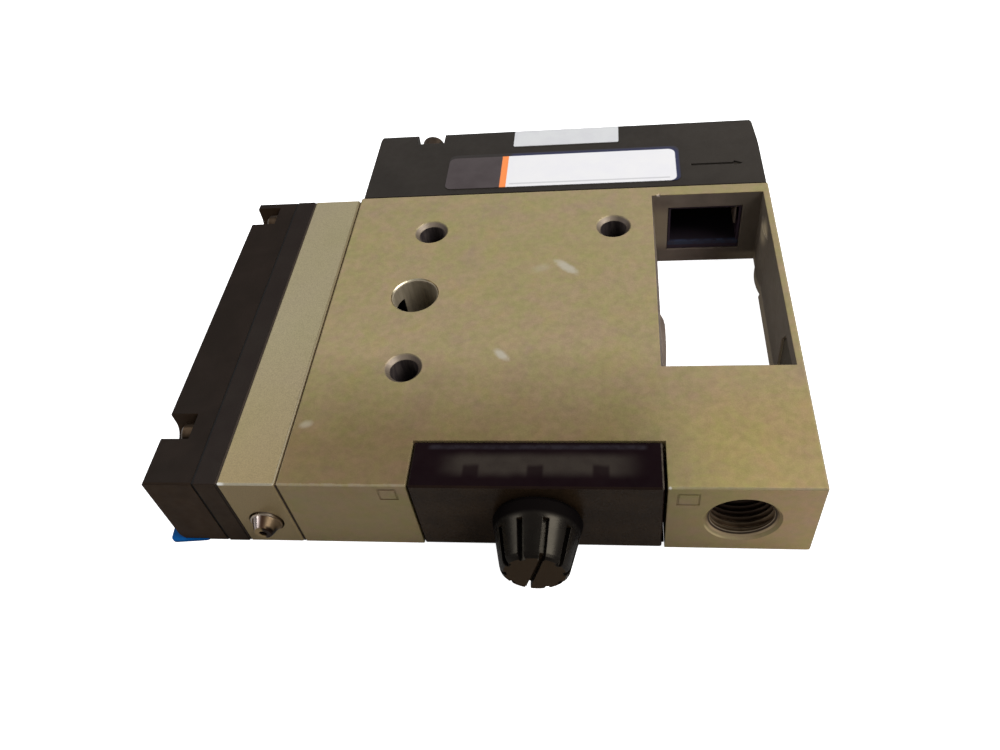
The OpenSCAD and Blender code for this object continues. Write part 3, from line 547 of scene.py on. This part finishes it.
def rubber(name, dark, light):
    m = Mat(name)
    a = m.noise(1.5, 3.0, 0.6)
    m.set(Base_Color=m.mix(m.range(a, 0.3, 0.7), dark, light), Roughness=m.range(a, 0.3, 0.7, 0.65, 0.8), Normal=m.bump(m.noise(5.0, 2.0), 0.01, 0.5), Specular_IOR_Level=0.25)
    return m


def paper(name, shade, light):
    m = Mat(name)
    a = m.noise(0.3, 3.0, 0.5)
    g = m.noise(4.0, 3.0, 0.6)
    m.set(Base_Color=m.mix(m.range(a, 0.3, 0.7), shade, light), Roughness=m.range(a, 0.3, 0.7, 0.35, 0.45), Normal=m.bump(g, 0.003, 0.5), Specular_IOR_Level=0.3)
    return m


def label_print():
    """printed film: dark end, orange stripe, white field, navy line along two edges"""
    m = Mat("printed_label")
    x, y, z = m.xyz()
    lo, hi = mm("main_label")
    r = 1.3
    x1, x2 = lo.x + 10.3, lo.x + 11.5
    fx, fy = hi.x - 0.75, hi.y - 0.95
    cx, cy, hx, hy = (lo.x + fx) / 2, (lo.y + fy) / 2, (fx - lo.x) / 2, (fy - lo.y) / 2
    qx = m.math("SUBTRACT", m.math("ABSOLUTE", m.math("SUBTRACT", x, cx)), hx - r)
    qy = m.math("SUBTRACT", m.math("ABSOLUTE", m.math("SUBTRACT", y, cy)), hy - r)
    px, py = m.math("MAXIMUM", qx, 0.0), m.math("MAXIMUM", qy, 0.0)
    d = m.math("SQRT", m.math("ADD", m.math("MULTIPLY", px, px), m.math("MULTIPLY", py, py)))
    d = m.math("SUBTRACT", m.math("ADD", d, m.math("MINIMUM", m.math("MAXIMUM", qx, qy), 0.0)), r)
    a = m.noise(0.3, 3.0, 0.5)
    white = m.mix(m.range(a, 0.3, 0.7), srgb(226, 225, 226), srgb(223, 222, 225))
    line = m.both(m.band(y, lo.y + 0.75, lo.y + 1.15, 0.25), m.band(x, x2 + 0.6, fx - 1.2, 0.3))
    white = m.mix(m.math("MULTIPLY", line, 0.55), white, srgb(168, 168, 170))
    margin = m.range(d, -0.08, 0.08)
    navy = m.mix(m.range(d, 0.1, 1.0), srgb(40, 44, 76), srgb(44, 42, 50))
    white = m.mix(margin, white, navy)
    dark = m.mix(m.range(a, 0.3, 0.7), srgb(64, 56, 57), srgb(70, 62, 63))
    orange = srgb(240, 138, 74)
    base = m.mix(m.range(x, x2 - 0.05, x2 + 0.05), orange, white)
    base = m.mix(m.range(x, x1 + 0.05, x1 - 0.05), base, dark)
    base = m.mix(m.both(margin, m.range(x, x2 + 1.0, x2)), base, srgb(40, 35, 33))
    m.set(Base_Color=base, Roughness=m.range(a, 0.3, 0.7, 0.35, 0.45), Normal=m.bump(m.noise(4.0, 3.0, 0.6), 0.003, 0.5), Specular_IOR_Level=0.3)
    return m


def thread_metal():
    """cut thread, with painted shade: darker with depth and in the roots, so the crests are lighter"""
    m = steel("port_thread_metal", srgb(120, 104, 82), (0.3, 0.42), 0.7)
    x, y, z = m.xyz()
    px = m.math("SUBTRACT", x, PORT[0])
    pz = m.math("SUBTRACT", z, PORT[2])
    pr = m.math("SQRT", m.math("ADD", m.math("MULTIPLY", px, px), m.math("MULTIPLY", pz, pz)))
    base = m.mix(m.range(pr, 4.5, 4.32), tint(m, m.base, 0.95, 0.85, 0.78), m.base)
    base = m.mix(m.range(y, 1.2, 4.4, 0.0, 0.8), base, srgb(58, 40, 33))
    # lead-in cone: face colour outside with painted light on its lower part, then a dark ring, then a lighter inner
    # edge
    mouth = m.range(y, 0.9, 0.84)
    cone = m.mix(m.range(z, PORT[2] + 1.0, PORT[2] - 3.0), srgb(120, 102, 76), srgb(188, 165, 130))
    cone = m.mix(m.range(pr, 4.66, 4.56), cone, srgb(64, 51, 40))
    cone = m.mix(m.range(pr, 4.43, 4.36), cone, srgb(176, 158, 134))
    base = m.mix(mouth, base, cone)
    m.set(Base_Color=base)
    return m


M_BODY = metal_body()
M_PLATE = metal_plate()
M_REAR = rear_plastic()
M_END = end_plastic()
M_BLANK = blank_plastic()
M_KNOB = knob_plastic()
M_CASE = smoky()
M_SCREW = steel("screw_plating", srgb(84, 69, 55), (0.3, 0.42), 1.0, 0.08)
M_STUD = steel("stud_plating", srgb(170, 166, 158), (0.25, 0.4))
M_NEEDLE = needle_metal()
M_BRASS = steel("nozzle_alloy", srgb(196, 164, 96), (0.25, 0.4))
M_DIFF = steel("diffuser_alloy", srgb(180, 178, 176), (0.3, 0.45))
M_RUBBER = rubber("seal_rubber", srgb(14, 13, 13), srgb(22, 20, 19))
# painted light: the seam gaskets are a lighter brown than their inset, shaded place would show
M_SEAM = rubber("gasket_rubber", srgb(60, 47, 36), srgb(72, 58, 45))
M_DARK_SEAM = rubber("plate_gasket_rubber", srgb(52, 42, 35), srgb(60, 49, 41))
M_LABEL = label_print()
M_PALE = paper("number_label_pale", srgb(205, 206, 207), srgb(200, 200, 203))
M_BLUE = plastic("blue_moulding", srgb(0, 74, 142), srgb(0, 84, 152), (0.45, 0.6), 0.006, 0.06)
M_FELT = plastic("silencer_felt", srgb(196, 192, 178), srgb(214, 210, 196), (0.85, 0.95), 0.08, 0.2)
M_FILTER = plastic("filter_felt", srgb(150, 142, 126), srgb(166, 158, 140), (0.85, 0.95), 0.06, 0.2)

dress(M_BODY, "ejector_body")
dress(M_PLATE, "adapter_plate")
dress(M_REAR, "rear_cover")
dress(M_END, "end_cover")
dress(M_BLANK, "blanking_plate")
dress(M_KNOB, "filter_knob")
dress(M_CASE, "filter_case")
dress(M_SCREW, "rear_cover_screws", "end_cover_screws")
dress(M_STUD, "knob_stud")
dress(M_NEEDLE, "release_needle")
dress(M_BRASS, "nozzle", "suction_passage_plug")
dress(M_DIFF, "diffuser")
dress(M_RUBBER, "rear_cover_gasket", "nozzle_o_rings", "diffuser_o_ring", "filter_case_gasket", "knob_o_ring", "needle_o_ring", "end_cover_gasket")
dress(M_SEAM, "adapter_gasket")
dress(M_DARK_SEAM, "blanking_plate_gasket")
dress(M_LABEL, "main_label")
dress(M_PALE, "number_label")
dress(M_BLUE, "blue_plug")
dress(M_FELT, "silencer_element")
dress(M_FILTER, "filter_element")


# ---------------------------------------------------------------- new pieces
def new_object(name, bm, mats, smooth=None):
    me = bpy.data.meshes.new(name)
    bm.normal_update()
    bm.to_mesh(me)
    bm.free()
    for m in mats:
        me.materials.append(m.m)
    o = bpy.data.objects.new(name, me)
    bpy.context.scene.collection.objects.link(o)
    if smooth is not None:
        me.shade_smooth()
        me.set_sharp_from_angle(angle=math.radians(smooth))
    return o


def thread_insert():
    """helical ridges on the wall of the vacuum port"""
    px = BODY.x - 10.0
    pz = BODY.z / 2
    pitch, y0, y1, per = 0.907, 0.95, 7.55, 72
    n = int((y1 - y0) / pitch * per)
    bm = bmesh.new()
    rings = []
    for i in range(n + 1):
        a = 2 * math.pi * i / per
        y = y0 + pitch * i / per
        fade = min(1.0, i / (per * 0.4), (n - i) / (per * 0.4))
        crest = 4.86 - 0.56 * max(fade, 0.02)
        rings.append([
            bm.verts.new(P(px + r * math.sin(a), y + dy, pz + r * math.cos(a)))
            for r, dy in ((4.86, -0.47), (crest, -0.07), (crest, 0.07), (4.86, 0.47))
        ])
    for a, b in zip(rings, rings[1:]):
        for k in range(4):
            bm.faces.new((a[k], a[(k + 1) % 4], b[(k + 1) % 4], b[k]))
    bm.faces.new(rings[0])
    bm.faces.new(list(reversed(rings[-1])))
    # lead-in cone at the mouth
    cone = [[bm.verts.new(P(px + r * math.sin(a), y, pz + r * math.cos(a))) for r, y in ((4.84, 0.4), (4.33, 0.86), (4.33, 0.98), (4.84, 0.98))]
        for a in (2 * math.pi * i / 96 for i in range(96))]
    for a, b in zip(cone, cone[1:] + cone[:1]):
        for k in range(4):
            bm.faces.new((a[k], a[(k + 1) % 4], b[(k + 1) % 4], b[k]))
    bmesh.ops.recalc_face_normals(bm, faces=bm.faces)
    return new_object("port_thread", bm, [thread_metal()], 25)


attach(thread_insert(), "unit")


# ---------------------------------------------------------------- floor, light, camera
def stage():
    bm = bmesh.new()
    bmesh.ops.create_grid(bm, x_segments=8, y_segments=8, size=20.0)
    for v in bm.verts:
        v.co.z = -0.00003
    m = Mat("floor_white")
    # brighter to the eye than in what it reflects onto the object, like a lit sweep behind a dim table
    seen = m.node("ShaderNodeLightPath").outputs["Is Camera Ray"]
    pale = m.mix(m.range(m.noise(0.02, 2.0), 0.3, 0.7), (0.86, 0.86, 0.86, 1), (0.88, 0.88, 0.88, 1))
    m.set(Base_Color=m.mix(seen, (0.42, 0.41, 0.40, 1.0), pale), Roughness=0.8, Specular_IOR_Level=0.1, Emission_Color=(1.0, 1.0, 1.0, 1.0), Emission_Strength=m.math("MULTIPLY", seen, 0.92))
    floor = new_object("floor", bm, [m])


def area(name, at, to, size, power, colour=(1, 1, 1)):
    d = bpy.data.lights.new(name, "AREA")
    d.shape = "RECTANGLE"
    d.size, d.size_y = size
    d.energy = power
    d.color = colour
    o = bpy.data.objects.new(name, d)
    bpy.context.scene.collection.objects.link(o)
    o.location = at
    o.rotation_mode = "QUATERNION"
    o.rotation_quaternion = (Vector(to) - Vector(at)).to_track_quat("-Z", "Y")
    return o


stage()
area("softbox_right", (0.60, -0.05, 0.65), (0.0, 0.0, 0.0), (0.7, 0.5), 8.4)
area("softbox_left", (-0.65, 0.10, 0.55), (0.0, 0.0, 0.0), (0.7, 0.4), 2.9)
area("backdrop_glow", (0.20, 0.95, 0.32), (0.0, 0.0, 0.02), (1.3, 0.35), 1.2)
w = bpy.data.worlds.new("studio")
w.use_nodes = True
w.node_tree.nodes["Background"].inputs[0].default_value = (1.0, 1.0, 1.0, 1.0)
eye_ray = w.node_tree.nodes.new("ShaderNodeLightPath")
level = w.node_tree.nodes.new("ShaderNodeMath")
level.operation = "MULTIPLY_ADD"
w.node_tree.links.new(eye_ray.outputs["Is Camera Ray"], level.inputs[0])
level.inputs[1].default_value = 0.78
level.inputs[2].default_value = 0.22
w.node_tree.links.new(level.outputs[0], w.node_tree.nodes["Background"].inputs[1])
bpy.context.scene.world = w
bpy.context.scene.view_settings.view_transform = "Standard"

AZ, EL, ROLL = (math.radians(v) for v in (12.047, 48.488, -9.656))
back = Vector((math.sin(AZ) * math.cos(EL), -math.cos(AZ) * math.cos(EL), math.sin(EL)))
right = Vector((math.cos(AZ), math.sin(AZ), 0.0))
up = back.cross(right)
c, s = math.cos(ROLL), math.sin(ROLL)
right, up = right * c + up * s, up * c - right * s
cam_data = bpy.data.cameras.new("camera")
cam_data.sensor_width = 36.0
cam_data.lens = 30.2966
cam_data.clip_start, cam_data.clip_end = 0.005, 10.0
cam = bpy.data.objects.new("camera", cam_data)
bpy.context.scene.collection.objects.link(cam)
eye = P(47.298, -61.541, 109.427)
cam.matrix_world = Matrix(((right.x, up.x, back.x, eye.x), (right.y, up.y, back.y, eye.y), (right.z, up.z, back.z, eye.z), (0, 0, 0, 1)))
bpy.context.scene.camera = cam
